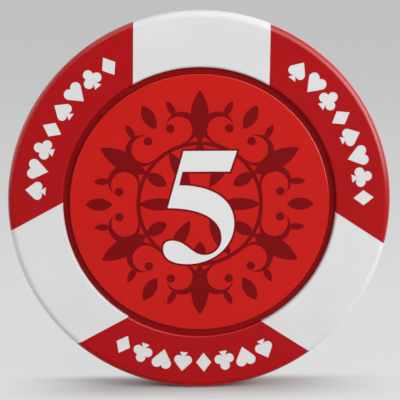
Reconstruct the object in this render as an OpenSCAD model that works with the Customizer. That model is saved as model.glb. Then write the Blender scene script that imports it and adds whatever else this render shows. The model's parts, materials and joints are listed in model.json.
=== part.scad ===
// Slugged poker chip, value 5, standing on its rim with the front face towards -Y.
// Two red halves close round a steel slug. Three white edge inserts and six white mark strips
// are held between them, and a printed inlay is glued into the recess of each face.
// Each piece is drawn lying flat, with the joint of the halves at z = 0 and the front face up.

/* [Chip] */
// Diameter over the rim
chip_d = 40; // [34:0.5:48]
// Thickness over the two faces
chip_t = 3.3; // [3:0.1:4.5]
// Rounding where the rim meets each face
rim_fillet = 0.75; // [0.2:0.05:1.2]

/* [Recess and inlay] */
// Width of the ring round the recess
ring_w = 5.75; // [4.5:0.05:7]
// Bevel round the recess's mouth
recess_bevel = 0.2; // [0.05:0.05:0.35]
// Open groove between the inlay and the recess wall
groove_w = 0.7; // [0.2:0.05:1.5]
// Thickness of the inlay film
inlay_t = 0.35; // [0.25:0.05:0.6]
// Rounding of the inlay's face edge
inlay_edge_r = 0.12; // [0.02:0.02:0.2]
// Thickness of the glue under the inlay
adhesive_t = 0.05; // [0.02:0.01:0.1]
// How far the print lies below the face of the ring
print_inset = 0.05; // [0.02:0.01:0.2]

/* [Slug and joint of the halves] */
// Plastic between the slug and the floor of the recess
floor_t = 0.3; // [0.2:0.05:0.45]
// Plastic between the slug and the tongues of the inserts
slug_wall = 0.48; // [0.3:0.02:1.5]
// Clearance all round the slug
slug_fit = 0.05; // [0.02:0.01:0.1]
// Diameter of the three bosses that pass through the slug
boss_d = 3; // [2.4:0.1:5]
// Steel between a boss's hole and the edge of the slug
boss_edge = 3.3; // [1:0.1:6]
// Clearance between a boss and its hole in the slug
boss_fit = 0.1; // [0.05:0.01:0.2]
// Diameter of the spigot on each front boss
spigot_d = 1.6; // [0.8:0.1:1.9]
// Length of the spigot
spigot_l = 0.5; // [0.2:0.05:0.55]
// Clearance between a spigot and its socket
spigot_fit = 0.05; // [0.02:0.01:0.08]

/* [Edge inserts] */
// Width between the parallel sides of an insert
insert_w = 14; // [8:0.5:16]
// Thickness of the tongue that the halves trap
tongue_t = 0.8; // [0.4:0.1:1.2]
// Reach of the tongue inwards
tongue_l = 0.8; // [0.4:0.1:1.2]
// Joint line between an insert and the halves
insert_fit = 0.02; // [0.01:0.01:0.05]
// Direction of the top insert, counter-clockwise from +X as seen from the front
top_bar_angle = 89.3; // [86:0.1:94]
// Direction of the left insert
left_bar_angle = 208.5; // [206:0.1:214]
// Direction of the right insert
right_bar_angle = 326.8; // [324:0.1:334]

/* [Mark strips] */
// Height of a mark, along the radius
mark_h = 2.1; // [1.2:0.1:2.5]
// Least gap between two marks
mark_gap = 0.1; // [0.05:0.05:0.6]
// Thickness of the strip behind the marks
strip_t = 0.7; // [0.4:0.05:1]
// How far the strip reaches past its marks
strip_edge = 0.45; // [0.2:0.05:0.6]
// Red wall between the end of a strip and the insert
strip_wall = 0.35; // [0.2:0.05:1]
// Joint line round a strip and its marks
strip_fit = 0.02; // [0.01:0.01:0.04]

/* [Print] */
// Thickness of the ink
ink_t = 0.05; // [0.02:0.01:0.1]
// Height of the numeral
numeral_h = 12; // [6:0.5:16]
// How far the numeral's middle lies below the chip's axis
numeral_drop = 0.4; // [0:0.1:1]
// Bare film between the ornament and the edge of the inlay
print_margin = 1.65; // [0.6:0.05:3]
// Width of the line of the ornament's circle
circle_w = 0.4; // [0.2:0.05:0.8]
// Flowers round the circle
flowers = 6; // [4:1:6]
// Length of a flower's middle petal
petal_l = 5.5; // [4:0.1:6]
// Width of a flower's middle petal
petal_w = 1.9; // [1:0.1:2.6]
// Length of a flower's foot, inside the circle
foot_l = 2.4; // [1:0.1:3.5]
// Width of a flower's foot
foot_w = 1.3; // [0.5:0.1:1.6]
// Outer radius of the curl on each side of a flower
curl_r = 1.65; // [1:0.05:1.8]
// Thickness of a curl's back
curl_t = 0.65; // [0.3:0.05:0.8]
// How far a curl's hollow breaks out of its side
curl_break = 0.15; // [0.05:0.05:0.3]
// Direction in which a curl opens
curl_angle = -40; // [-60:5:-20]
// Diameter of the bead that ends a curl
bead_d = 0.9; // [0.3:0.05:1]
// Direction of the bead from the middle of its curl
bead_angle = -5; // [-20:5:10]
// Length of the sprig on a curl's back
sprig_l = 1.8; // [0.8:0.1:2]
// Width of the sprig
sprig_w = 0.7; // [0.3:0.1:0.8]
// Lean of the sprig towards its petal
sprig_angle = -30; // [-50:5:-10]
// Length of the leaf between two flowers
leaf_l = 2.8; // [1:0.1:3]
// Width of the leaf
leaf_w = 1.3; // [0.5:0.1:1.8]
// Length of a ray of the star inside the circle
ray_l = 4.4; // [2:0.1:5]
// Width of a ray
ray_w = 1.3; // [0.6:0.1:1.8]

/* [Hidden] */
$fn = 96;

// Colours of the finishes
body_red = [0.67, 0.11, 0.12];
insert_white = [0.86, 0.86, 0.86];
film_red = [0.78, 0.14, 0.12];
ink_dark_red = [0.5, 0.07, 0.08];
ink_white = [0.87, 0.87, 0.87];
glue_amber = [0.8, 0.75, 0.6];

// The same direction as seen from behind
function behind(direction) = 180 - direction;

// Directions of the inserts, which lie a little off even thirds, as on the measured chip
bar_angles = [top_bar_angle, left_bar_angle, right_bar_angle];
back_bar_angles = [for (direction = bar_angles) behind(direction)];

// Directions of the red stretches, each halfway between two inserts
full_turn = 360;
left_angle = (top_bar_angle + left_bar_angle) / 2;
bottom_angle = (left_bar_angle + right_bar_angle) / 2;
right_angle = (right_bar_angle + top_bar_angle - full_turn) / 2;
stretch_angles = [left_angle, bottom_angle, right_angle];
back_stretch_angles = [for (direction = stretch_angles) behind(direction)];
shortest_turn = min(
  left_bar_angle - top_bar_angle,
  right_bar_angle - left_bar_angle,
  top_bar_angle + full_turn - right_bar_angle
);

chip_r = chip_d / 2;
half_t = chip_t / 2;
recess_r = chip_r - ring_w;
recess_depth = adhesive_t + inlay_t + ink_t + print_inset;
recess_floor = half_t - recess_depth;
inlay_r = recess_r - groove_w;

slug_pocket_z = recess_floor - floor_t;
slug_pocket_r = recess_r - tongue_l - insert_fit - slug_wall;
slug_r = slug_pocket_r - slug_fit;
slug_t = 2 * (slug_pocket_z - slug_fit);
boss_circle_r = slug_r - boss_edge - boss_fit - boss_d / 2;

mark_circle_r = (chip_r + recess_r) / 2;
strip_w = mark_h + 2 * strip_edge;
strip_r = mark_circle_r - strip_w / 2;
strip_turn = shortest_turn / 2 - asin((insert_w / 2 + insert_fit + strip_wall) / strip_r);
mark_turn = strip_turn - asin((mark_h / 2 + strip_edge) / mark_circle_r);
mark_steps = floor(2 * mark_turn * PI / 180 * mark_circle_r / (mark_h + mark_gap));

circle_r = inlay_r - print_margin - petal_l;
// Points on each curve of the numeral
curve_steps = 10;
// How far a cut runs past the face that it opens
through = 1;

// The numeral's outline, in hundredths of its height, with its foot at y = 0
numeral_flag = [[-14, 100], [32, 100], [26, 82], [-15, 82], [-18, 70]];
numeral_curves = [
  [[-18, 70], [7, 70], [30, 60], [30, 36]],
  [[30, 36], [30, 15], [11, 0], [-10, 0]],
  [[-10, 0], [-25, 0], [-32, 5], [-32, 14]],
  [[-32, 14], [-32, 19], [-29, 21], [-24, 21]],
  [[-24, 21], [-12, 21], [-7, 8], [4, 8]],
  [[4, 8], [13, 8], [19, 15], [19, 23]],
  [[19, 23], [19, 40], [1, 50], [-28, 50]],
];

function bezier(p, t) =
  pow(1 - t, 3) * p[0] + 3 * t * pow(1 - t, 2) * p[1] + 3 * t * t * (1 - t) * p[2] + t * t * t * p[3];
function curve_points(p) = [for (i = [1:curve_steps]) bezier(p, i / curve_steps)];

// Where a line from the point tip touches the circle of radius r about c, on the circle's right
function touch(tip, c, r) =
  let (d = c - tip, a = atan2(d[1], d[0]) + 180 + acos(r / norm(d)))
  c + r * [cos(a), sin(a)];

// Stands a flat-drawn piece on its rim
module standing() {
  translate([0, 0, chip_r]) rotate([90, 0, 0]) children();
}

// Turns a front piece into the back one, so that it reads the right way from behind
module turned_over() {
  rotate([0, 180, 0]) children();
}

// Turns what points to +Y to another direction
module towards(direction) {
  rotate([0, 0, direction - 90]) children();
}

// Section of a disc whose upper outer edge is rounded
module disc_section(r, t, edge_r) {
  square([r - edge_r, t]);
  square([r, t - edge_r]);
  translate([r - edge_r, t - edge_r]) circle(r = edge_r);
}

// What the recess takes out of a section, with its bevelled mouth
module recess_section() {
  wide = recess_bevel + through;
  translate([0, recess_floor]) square([recess_r, recess_depth + through]);
  translate([recess_r, half_t - recess_bevel]) polygon([[0, 0], [wide, wide], [0, wide]]);
}

module half_section() {
  difference() {
    disc_section(chip_r, half_t, rim_fillet);
    recess_section();
    square([slug_pocket_r, slug_pocket_z]);
  }
}

module ring_half_section() {
  difference() {
    disc_section(chip_r, half_t, rim_fillet);
    recess_section();
    square([recess_r, half_t]);
  }
}

module tongue_section(gap) {
  translate([recess_r - tongue_l - gap, -tongue_t / 2 - gap])
    square([tongue_l + 2 * gap, tongue_t + 2 * gap]);
}

// The bar across the ring, towards +Y, between parallel sides
module bar(gap) {
  translate([-insert_w / 2 - gap, 0, -chip_t])
    cube([insert_w + 2 * gap, chip_r + through, 2 * chip_t]);
}

module insert_seat() {
  intersection() {
    rotate_extrude() {
      translate([recess_r - insert_fit, -chip_t]) square([chip_r, 2 * chip_t]);
      tongue_section(insert_fit);
    }
    bar(insert_fit);
  }
}

// Two round lobes that run out to a tip
module lobed(tip, lobe, lobe_r) {
  side = touch(tip, lobe, lobe_r);
  translate(lobe) circle(r = lobe_r);
  mirror([1, 0]) translate(lobe) circle(r = lobe_r);
  polygon([tip, side, lobe, [-lobe[0], lobe[1]], [-side[0], side[1]]]);
}

module pip_stem() {
  polygon([[-0.05, 0], [0.05, 0], [0.2, -0.5], [-0.2, -0.5]]);
}

// The four suits, one unit high
module spade() {
  mirror([0, 1]) lobed([0, -0.5], [0.22, 0.1], 0.23);
  pip_stem();
}

module heart() {
  lobed([0, -0.5], [0.235, 0.24], 0.26);
}

module club() {
  translate([0, 0.26]) circle(r = 0.24);
  for (side = [-1, 1]) translate([side * 0.25, -0.09]) circle(r = 0.24);
  circle(r = 0.15);
  pip_stem();
}

module diamond() {
  polygon([[0, 0.5], [0.38, 0], [0, -0.5], [-0.38, 0]]);
}

module pip(suit, height) {
  scale(height) {
    if (suit == 0) spade();
    if (suit == 1) heart();
    if (suit == 2) club();
    if (suit == 3) diamond();
  }
}

// Mark number i of a strip, which a gap makes larger
module mark(i, gap) {
  suits = 4;
  pip(i % suits, mark_h + 2 * gap);
}

// The strip of one red stretch, its marks up to the face. A gap makes it the seat for itself.
module mark_strip(gap) {
  strip_end = gap / strip_r * 180 / PI;
  rotate([0, 0, 90 - strip_turn - strip_end])
    rotate_extrude(angle = 2 * (strip_turn + strip_end))
      translate([strip_r - gap, -gap]) square([strip_w + 2 * gap, strip_t + 2 * gap]);
  for (i = [0:mark_steps])
    rotate([0, 0, mark_turn * (1 - 2 * i / mark_steps)])
      translate([0, mark_circle_r, strip_t / 2])
        linear_extrude(half_t - strip_t / 2 + (gap > 0 ? through : 0)) mark(i, gap);
}

module at_bosses(directions) {
  for (direction = directions)
    towards(direction) translate([0, boss_circle_r, 0]) children();
}

// A half without its spigots or sockets, for inserts and strips in the given directions
module plain_half(insert_directions, strip_directions) {
  difference() {
    union() {
      rotate_extrude() half_section();
      at_bosses(strip_directions) cylinder(d = boss_d, h = recess_floor);
    }
    for (direction = insert_directions) towards(direction) insert_seat();
    for (direction = strip_directions) towards(direction) mark_strip(strip_fit);
  }
}

module edge_insert(direction) {
  standing() towards(direction) intersection() {
    rotate_extrude() {
      ring_half_section();
      mirror([0, 1]) ring_half_section();
      tongue_section(0);
    }
    bar(0);
  }
}

module front_marks(direction) {
  standing() towards(direction) mark_strip(0);
}

module back_marks(direction) {
  standing() turned_over() towards(behind(direction)) mark_strip(0);
}

module adhesive() {
  translate([0, 0, recess_floor]) cylinder(r = inlay_r - inlay_edge_r, h = adhesive_t);
}

module inlay() {
  translate([0, 0, recess_floor + adhesive_t])
    rotate_extrude() disc_section(inlay_r, inlay_t, inlay_edge_r);
}

module numeral_shape() {
  translate([0, -numeral_drop - numeral_h / 2])
    scale(numeral_h / 100)
      polygon(concat(numeral_flag, [for (p = numeral_curves) each curve_points(p)]));
}

// A leaf with a point at each end, from the origin along +Y
module pointed_leaf(l, w) {
  bow = (l * l + w * w) / (4 * w);
  intersection() {
    translate([bow - w / 2, l / 2]) circle(r = bow);
    translate([w / 2 - bow, l / 2]) circle(r = bow);
  }
}

// A curl that opens to the lower right, with a bead at its end and a sprig on its back
module curl() {
  shift = (curl_t + curl_break) / 2;
  difference() {
    circle(r = curl_r);
    rotate([0, 0, curl_angle]) translate([shift, 0]) circle(r = curl_r + shift - curl_t);
  }
  rotate([0, 0, bead_angle]) translate([curl_r - bead_d / 2, 0]) circle(d = bead_d);
  rotate([0, 0, sprig_angle]) translate([0, curl_r - curl_t / 2]) pointed_leaf(sprig_l, sprig_w);
}

// A flower that stands on the ornament's circle, towards +Y
module flower() {
  pointed_leaf(petal_l, petal_w);
  mirror([0, 1]) pointed_leaf(foot_l, foot_w);
  for (side = [0, 1])
    mirror([side, 0]) translate([curl_r + circle_w / 2, curl_r]) curl();
}

module ornament_shape() {
  step = full_turn / flowers;
  difference() {
    circle(r = circle_r + circle_w / 2);
    circle(r = circle_r - circle_w / 2);
  }
  for (i = [0:flowers - 1]) {
    rotate([0, 0, i * step]) translate([0, circle_r]) flower();
    rotate([0, 0, (i + 0.5) * step]) {
      translate([0, circle_r + petal_l - leaf_l]) pointed_leaf(leaf_l, leaf_w);
      translate([0, circle_r - ray_l]) pointed_leaf(ray_l, ray_w);
    }
  }
}

module print_layer() {
  translate([0, 0, recess_floor + adhesive_t + inlay_t]) linear_extrude(ink_t) children();
}

module numeral() {
  print_layer() numeral_shape();
}

module ornament() {
  print_layer() difference() {
    ornament_shape();
    numeral_shape();
  }
}

module steel_slug() {
  color("silver") standing() difference() {
    translate([0, 0, -slug_t / 2]) cylinder(r = slug_r, h = slug_t);
    at_bosses(stretch_angles)
      translate([0, 0, -slug_t]) cylinder(d = boss_d + 2 * boss_fit, h = 2 * slug_t);
  }
}

module front_half() {
  color(body_red) standing() {
    plain_half(bar_angles, stretch_angles);
    at_bosses(stretch_angles)
      translate([0, 0, -spigot_l]) cylinder(d = spigot_d, h = spigot_l + slug_pocket_z);
  }
}

module back_half() {
  color(body_red) standing() turned_over() difference() {
    plain_half(back_bar_angles, back_stretch_angles);
    at_bosses(back_stretch_angles) translate([0, 0, -through])
      cylinder(d = spigot_d + 2 * spigot_fit, h = through + spigot_l + spigot_fit);
  }
}

module edge_insert_top() {
  color(insert_white) edge_insert(top_bar_angle);
}

module edge_insert_left() {
  color(insert_white) edge_insert(left_bar_angle);
}

module edge_insert_right() {
  color(insert_white) edge_insert(right_bar_angle);
}

module front_marks_left() {
  color(insert_white) front_marks(left_angle);
}

module front_marks_right() {
  color(insert_white) front_marks(right_angle);
}

module front_marks_bottom() {
  color(insert_white) front_marks(bottom_angle);
}

module back_marks_left() {
  color(insert_white) back_marks(left_angle);
}

module back_marks_right() {
  color(insert_white) back_marks(right_angle);
}

module back_marks_bottom() {
  color(insert_white) back_marks(bottom_angle);
}

module front_adhesive() {
  color(glue_amber) standing() adhesive();
}

module back_adhesive() {
  color(glue_amber) standing() turned_over() adhesive();
}

module front_inlay() {
  color(film_red) standing() inlay();
}

module back_inlay() {
  color(film_red) standing() turned_over() inlay();
}

module front_ornament() {
  color(ink_dark_red) standing() ornament();
}

module back_ornament() {
  color(ink_dark_red) standing() turned_over() ornament();
}

module front_numeral() {
  color(ink_white) standing() numeral();
}

module back_numeral() {
  color(ink_white) standing() turned_over() numeral();
}

steel_slug();
front_half();
back_half();
edge_insert_top();
edge_insert_left();
edge_insert_right();
front_marks_left();
front_marks_right();
front_marks_bottom();
back_marks_left();
back_marks_right();
back_marks_bottom();
front_adhesive();
back_adhesive();
front_inlay();
back_inlay();
front_ornament();
back_ornament();
front_numeral();
back_numeral();
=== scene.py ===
"""Dresses the packed poker chip: moulded body, inserts, marks, inlays, prints and a plain stage."""

import json
from math import acos, asin, atan2, cos, hypot, pi, radians, sin, sqrt, tau

import bmesh
import bpy
from bpy.props import FloatProperty, FloatVectorProperty, IntProperty, PointerProperty
from bpy.types import Operator, Panel, PropertyGroup
from mathutils import Matrix, Vector
from mathutils.geometry import delaunay_2d_cdt

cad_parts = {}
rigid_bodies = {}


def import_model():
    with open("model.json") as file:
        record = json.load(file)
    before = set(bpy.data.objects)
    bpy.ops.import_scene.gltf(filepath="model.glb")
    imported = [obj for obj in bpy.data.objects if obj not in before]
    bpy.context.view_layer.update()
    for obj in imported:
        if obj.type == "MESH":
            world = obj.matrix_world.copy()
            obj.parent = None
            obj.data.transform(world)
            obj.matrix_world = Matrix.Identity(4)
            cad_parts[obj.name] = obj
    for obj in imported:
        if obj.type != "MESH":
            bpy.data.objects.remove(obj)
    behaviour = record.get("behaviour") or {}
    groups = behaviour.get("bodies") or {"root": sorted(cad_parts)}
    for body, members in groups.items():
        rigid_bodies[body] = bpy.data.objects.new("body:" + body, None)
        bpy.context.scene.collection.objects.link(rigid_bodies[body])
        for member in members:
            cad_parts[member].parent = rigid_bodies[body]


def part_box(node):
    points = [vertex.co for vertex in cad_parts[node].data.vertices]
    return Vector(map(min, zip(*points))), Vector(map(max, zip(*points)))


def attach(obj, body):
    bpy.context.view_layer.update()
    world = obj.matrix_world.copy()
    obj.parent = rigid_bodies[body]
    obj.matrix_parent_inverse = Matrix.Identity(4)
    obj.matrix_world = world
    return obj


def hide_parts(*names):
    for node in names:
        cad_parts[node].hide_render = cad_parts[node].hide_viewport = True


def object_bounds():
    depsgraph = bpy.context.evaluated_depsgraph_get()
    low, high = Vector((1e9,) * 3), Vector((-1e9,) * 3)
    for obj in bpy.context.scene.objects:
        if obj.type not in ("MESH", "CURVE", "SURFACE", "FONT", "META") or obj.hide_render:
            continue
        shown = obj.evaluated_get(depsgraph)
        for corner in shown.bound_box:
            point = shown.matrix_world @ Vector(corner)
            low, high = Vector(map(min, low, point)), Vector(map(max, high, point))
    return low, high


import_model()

bl_info = {
    "name": "Slugged Poker Chip",
    "version": (1, 0, 0),
    "blender": (4, 5, 0),
    "location": "View3D > Sidebar > Poker Chip",
    "description": "Moulded halves, edge inserts, mark rows, printed inlays and a stage for one chip",
    "category": "Add Mesh",
}

MM = 0.001
CAD_LOW, CAD_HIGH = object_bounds()

# Heights over the joint of the halves, which the frame gives as depths along Y
FACE = CAD_HIGH.y
RECESS_FLOOR = -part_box("front_adhesive")[1].y
GLUE_TOP = -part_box("front_adhesive")[0].y
FILM_TOP = -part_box("front_inlay")[0].y
SLUG_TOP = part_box("steel_slug")[1].y

# A piece is drawn flat, its front up, and then stood on its rim
RIM_RADIUS = round((CAD_HIGH.z - CAD_LOW.z) / 2 / MM, 1) * MM
STANDING = Matrix.Translation((0, 0, RIM_RADIUS)) @ Matrix.Rotation(pi / 2, 4, "X")
TURNED_OVER = STANDING @ Matrix.Rotation(pi, 4, "Y")
FACES = {"front": STANDING, "back": TURNED_OVER}

# How finely round shapes are cut
RIM_STEPS = 14
MOUTH_STEPS = 8
BAR_CELLS = 28
STRETCH_CELLS = 72
LATHE_STEPS = 224
BOSS_STEPS = 48
CURVE_STEPS = 18
STRIP_STEPS = 64
# Width of the flat band that keeps a face flat up to its rounding
HOLDING_BAND = 0.04 * MM
SHARP_ANGLE = radians(32)
# Points nearer than this become one: in an outline, in a raised shape and in a cut mesh
OUTLINE_WELD = MM / 2000
RAISED_WELD = MM / 10000
MESH_WELD = 0.006 * MM
# A point this near the middle line of a mirrored outline lies on it
MIDDLE_LINE = 1e-6

# What the plastics, the film and the inks share
SPECULAR_LEVEL = 0.55
GRAIN_DEPTH = 0.0015 * MM
PEBBLE = 0.16 * MM
FILM_ROUGHNESS = 0.25
# Share of painted shade where it is darkest, at the foot of the groove
FOOT_SHADE = 0.6

# Each softbox: its direction from the chip, its two sizes in metres and the direction of its first side
SOFTBOXES = {
    "key": ((0.628, -0.643, 0.44), (0.52, 0.48), (-0.7, 0, 0.7)),
    "side": ((0.86, -0.48, 0.12), (0.4, 0.45), (0, 1, 0)),
    "top": ((-0.15, -0.1, 1), (0.6, 0.6), (1, 0, 0)),
    "back": ((0.62, 0.65, 0.45), (0.55, 0.5), (1, 0, 0)),
    "edge": ((-0.85, 0.25, 0.12), (0.5, 0.4), (0, 0, 1)),
    "left": ((-0.8, -0.5, 0.15), (0.5, 0.4), (0, 0, 1)),
}
WITHOUT_GLOSS = ("left",)
SOFTBOX_DISTANCE = 0.5


def length(name, description, millimetres):
    """A length property whose default is given in millimetres."""
    return FloatProperty(
        name=name, description=description, default=millimetres * MM, min=0, unit="LENGTH", precision=5
    )


def number(name, description, value, unit="NONE"):
    """A number property, plain or in a unit."""
    return FloatProperty(name=name, description=description, default=value, min=0, unit=unit)


def direction(name, description, degrees):
    """An angle property whose default is given in degrees."""
    return FloatProperty(name=name, description=description, default=radians(degrees), subtype="ANGLE")


def colour(name, description, value):
    """A colour property in linear values."""
    return FloatVectorProperty(
        name=name, description=description, default=value, size=3, min=0, max=1, subtype="COLOR"
    )


def from_frame(node, axis):
    """Extent of a CAD node in millimetres, to the nearest tenth."""
    low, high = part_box(node)
    return round((high[axis] - low[axis]) / MM, 1)


class ChipBody(PropertyGroup):
    """Sizes of the moulded body and of what it holds."""

    ring_width: length("Ring width", "From the recess to the rim", 5.75)
    rim_fillet: length("Rim rounding", "Where the rim meets a face", 0.75)
    mouth_radius: length("Mouth rounding", "Round the mouth of the recess", 0.2)
    seam: length("Seam", "Chamfer on each half where the two meet at the rim", 0.03)
    joint_gap: length("Joint line", "Between an insert or a mark and its seat", 0.008)
    insert_width: length("Insert width", "Between the parallel sides of an insert", 14)
    top_insert: direction("Top insert", "Direction of the top insert", 89.3)
    left_insert: direction("Left insert", "Direction of the left insert", 208.5)
    right_insert: direction("Right insert", "Direction of the right insert", 326.8)
    tongue_thickness: length("Tongue thickness", "Of the tongue that the halves trap", 0.8)
    tongue_length: length("Tongue length", "How far the tongue reaches inwards", 0.8)
    slug_diameter: length("Slug diameter", "Of the steel disc inside", from_frame("steel_slug", 0))
    slug_gap: length("Slug gap", "Clearance all round the slug", 0.05)
    boss_circle: length("Boss circle", "Radius of the circle that the bosses stand on", 8)
    boss_diameter: length("Boss diameter", "Of the bosses that pass through the slug", 3)
    boss_gap: length("Boss gap", "Between a boss and its hole in the slug", 0.1)
    spigot_diameter: length("Spigot diameter", "Of the spigot on each front boss", 1.6)
    spigot_length: length("Spigot length", "Of the spigot on each front boss", 0.5)
    spigot_gap: length("Spigot gap", "Between a spigot and its socket", 0.05)


class ChipMarks(PropertyGroup):
    """Sizes of the white suit marks and of the strip behind them."""

    height: length("Mark height", "Along the radius", 2.1)
    least_gap: length("Least gap", "Between two marks", 0.1)
    strip_thickness: length("Strip thickness", "Of the strip behind the marks", 0.7)
    strip_edge: length("Strip edge", "How far the strip reaches past its marks", 0.45)
    strip_wall: length("Strip wall", "Red plastic between a strip and an insert", 0.37)


class ChipPrint(PropertyGroup):
    """Sizes of the inlay film and of the print on it."""

    inlay_radius: length("Inlay radius", "Of the printed film", 13.55)
    inlay_edge: length("Inlay edge", "Rounding of the film's edge", 0.12)
    ink: length("Ink", "Thickness of the ink on the film", 0.012)
    outline: length("Outline", "Width of the dark line round the numeral", 0.21)
    margin: length("Margin", "Bare film round the ornament", 1.65)
    circle_width: length("Circle width", "Of the ornament's circle", 0.4)
    flowers: IntProperty(name="Flowers", description="Round the ornament's circle", default=6, min=4)
    petal: length("Petal length", "Of a flower's middle petal", 5.5)
    petal_width: length("Petal width", "Of a flower's middle petal", 1.9)
    foot: length("Foot length", "Of a flower's foot", 2.4)
    foot_width: length("Foot width", "Of a flower's foot", 1.3)
    curl: length("Curl radius", "Of the curl on each side of a flower", 1.65)
    curl_back: length("Curl back", "Thickness of a curl's back", 0.65)
    curl_break: length("Curl break", "How far a curl's hollow breaks out of its side", 0.15)
    curl_opens: direction("Curl opens", "Direction in which a curl opens", -40)
    bead: length("Bead", "Diameter of the bead that ends a curl", 0.9)
    bead_at: direction("Bead at", "Direction of the bead from the middle of its curl", -5)
    sprig: length("Sprig length", "Of the sprig on a curl's back", 1.8)
    sprig_width: length("Sprig width", "Of the sprig on a curl's back", 0.7)
    sprig_leans: direction("Sprig leans", "Lean of the sprig towards its petal", -30)
    leaf: length("Leaf length", "Of the leaf between two flowers", 2.8)
    leaf_width: length("Leaf width", "Of the leaf between two flowers", 1.3)
    ray: length("Ray length", "Of a ray inside the circle", 4.4)
    ray_width: length("Ray width", "Of a ray inside the circle", 1.3)


class ChipColours(PropertyGroup):
    """Colours of the finishes."""

    body_red: colour("Body red", "Of the moulded halves", (0.42, 0.0052, 0.0075))
    insert_white: colour("Insert white", "Of the inserts and marks", (0.725, 0.725, 0.728))
    film_red: colour("Film red", "Of the inlay", (0.58, 0.009, 0.006))
    dark_ink: colour("Dark ink", "Of the ornament", (0.21, 0.002, 0.004))
    white_ink: colour("White ink", "Of the numeral", (0.765, 0.765, 0.765))
    steel: colour("Steel", "Of the slug", (0.5, 0.5, 0.5))
    glue: colour("Glue", "Under the inlays", (0.6, 0.52, 0.32))


class ChipStage(PropertyGroup):
    """Camera, lamps, floor and backdrop."""

    distance: length("Camera distance", "From the camera to its aim", 136.93)
    elevation: direction("Camera elevation", "Above the floor", 10.27)
    azimuth: direction("Camera azimuth", "To the right of the chip's front", -1.58)
    lens: number("Lens", "Focal length on the sensor", 116.86, "CAMERA")
    aim_x: length("Aim across", "The camera's aim, to the right of the chip's axis", 0.06)
    aim_z: length("Aim height", "The camera's aim above the floor", 20.16)
    floor_radius: length("Floor radius", "Of the floor disc", 2500)
    floor_white: number("Floor white", "Of the floor in its own light", 0.56)
    near_grey: number("Near grey", "Of the floor by the chip", 0.797)
    far_grey: number("Far grey", "Of the backdrop", 0.53)
    fade: length("Fade", "Distance over which the floor turns to the far grey", 125)
    fill: number("Fill", "Strength of the light from all round", 0.135)
    key: number("Key", "Softbox in front, from above to the right", 1.88, "POWER")
    side: number("Side", "Softbox on the right", 1.5, "POWER")
    top: number("Top", "Softbox overhead", 0.8, "POWER")
    back: number("Back", "Softbox behind on the right", 1.1, "POWER")
    edge: number("Edge", "Softbox beside the left rim", 0.6, "POWER")
    left: number("Left", "Softbox in front on the left, which leaves no gloss", 1, "POWER")


class Wire:
    """One output socket of a node tree. Arithmetic on it adds Math nodes."""

    def __init__(self, graph, socket):
        self.graph = graph
        self.socket = socket

    def __add__(self, other):
        return self.graph.maths("ADD", self, other)

    def __sub__(self, other):
        return self.graph.maths("SUBTRACT", self, other)

    def __rsub__(self, other):
        return self.graph.maths("SUBTRACT", other, self)

    def __mul__(self, other):
        return self.graph.maths("MULTIPLY", self, other)

    def __truediv__(self, other):
        return self.graph.maths("DIVIDE", self, other)

    def __rtruediv__(self, other):
        return self.graph.maths("DIVIDE", other, self)

    def __mod__(self, other):
        return self.graph.maths("MODULO", self, other)

    __radd__ = __add__
    __rmul__ = __mul__


class Graph:
    """A node tree that is built one node at a time."""

    def __init__(self, tree):
        self.tree = tree

    def node(self, kind, settings=None, sockets=None, output=0):
        """Adds a node, sets it up, feeds its sockets and returns one of its outputs."""
        made = self.tree.nodes.new(kind)
        for name, value in (settings or {}).items():
            setattr(made, name, value)
        for key, value in (sockets or {}).items():
            socket = made.inputs[key]
            for item in value if isinstance(value, list) else [value]:
                if isinstance(item, Wire):
                    self.tree.links.new(item.socket, socket)
                else:
                    socket.default_value = item
        return Wire(self, made.outputs[output]) if made.outputs else made

    def maths(self, operation, *values):
        return self.node("ShaderNodeMath", {"operation": operation}, dict(enumerate(values)))

    def vectors(self, operation, *values, output=0):
        return self.node("ShaderNodeVectorMath", {"operation": operation}, dict(enumerate(values)), output)

    def part(self, vector, axis):
        return self.node("ShaderNodeSeparateXYZ", {}, {0: vector}, axis)

    def vector(self, x=0, y=0, z=0):
        return self.node("ShaderNodeCombineXYZ", {}, {"X": x, "Y": y, "Z": z})


class Finish(Graph):
    """A material, with the patterns that its surfaces share."""

    def __init__(self, name):
        self.material = bpy.data.materials.new(name)
        self.material.use_nodes = True
        super().__init__(self.material.node_tree)
        self.tree.nodes.clear()
        self.place = self.node("ShaderNodeTexCoord", output="Object")

    def noise(self, size, detail=2, stretch=None):
        """Noise whose features are about that size, which a stretch draws out along each axis."""
        place = self.place
        if stretch:
            place = self.node("ShaderNodeMapping", {}, {"Vector": place, "Scale": stretch})
        return self.node(
            "ShaderNodeTexNoise", {}, {"Vector": place, "Scale": 1 / size, "Detail": detail}, "Fac"
        )

    def rise(self, value, low, high):
        """0 below low, 1 above high, and smooth between."""
        return self.node(
            "ShaderNodeMapRange",
            {"interpolation_type": "SMOOTHSTEP"},
            {"Value": value, "From Min": low, "From Max": high},
        )

    def blend(self, factor, first, second):
        """A colour between two colours."""
        first, second = (c if isinstance(c, Wire) else (*c, 1) for c in (first, second))
        return self.node("ShaderNodeMix", {"data_type": "RGBA"}, {0: factor, 6: first, 7: second}, 2)

    def from_axis(self):
        """Distance from the chip's axis."""
        spot = self.vectors("SUBTRACT", self.place, (0, 0, RIM_RADIUS))
        flat = self.vectors("MULTIPLY", spot, (1, 0, 1))
        return self.vectors("LENGTH", flat, output="Value")

    def depth(self):
        """Depth below the nearer face of the chip."""
        return FACE - self.maths("ABSOLUTE", self.part(self.place, "Y"))

    def bump(self, height, depth):
        return self.node("ShaderNodeBump", {}, {"Height": height, "Distance": depth})

    def surface(self, sockets):
        """Ends the material in one Principled shader."""
        shader = self.node("ShaderNodeBsdfPrincipled", {}, sockets)
        self.node("ShaderNodeOutputMaterial", {}, {"Surface": shader})
        return self.material


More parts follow.
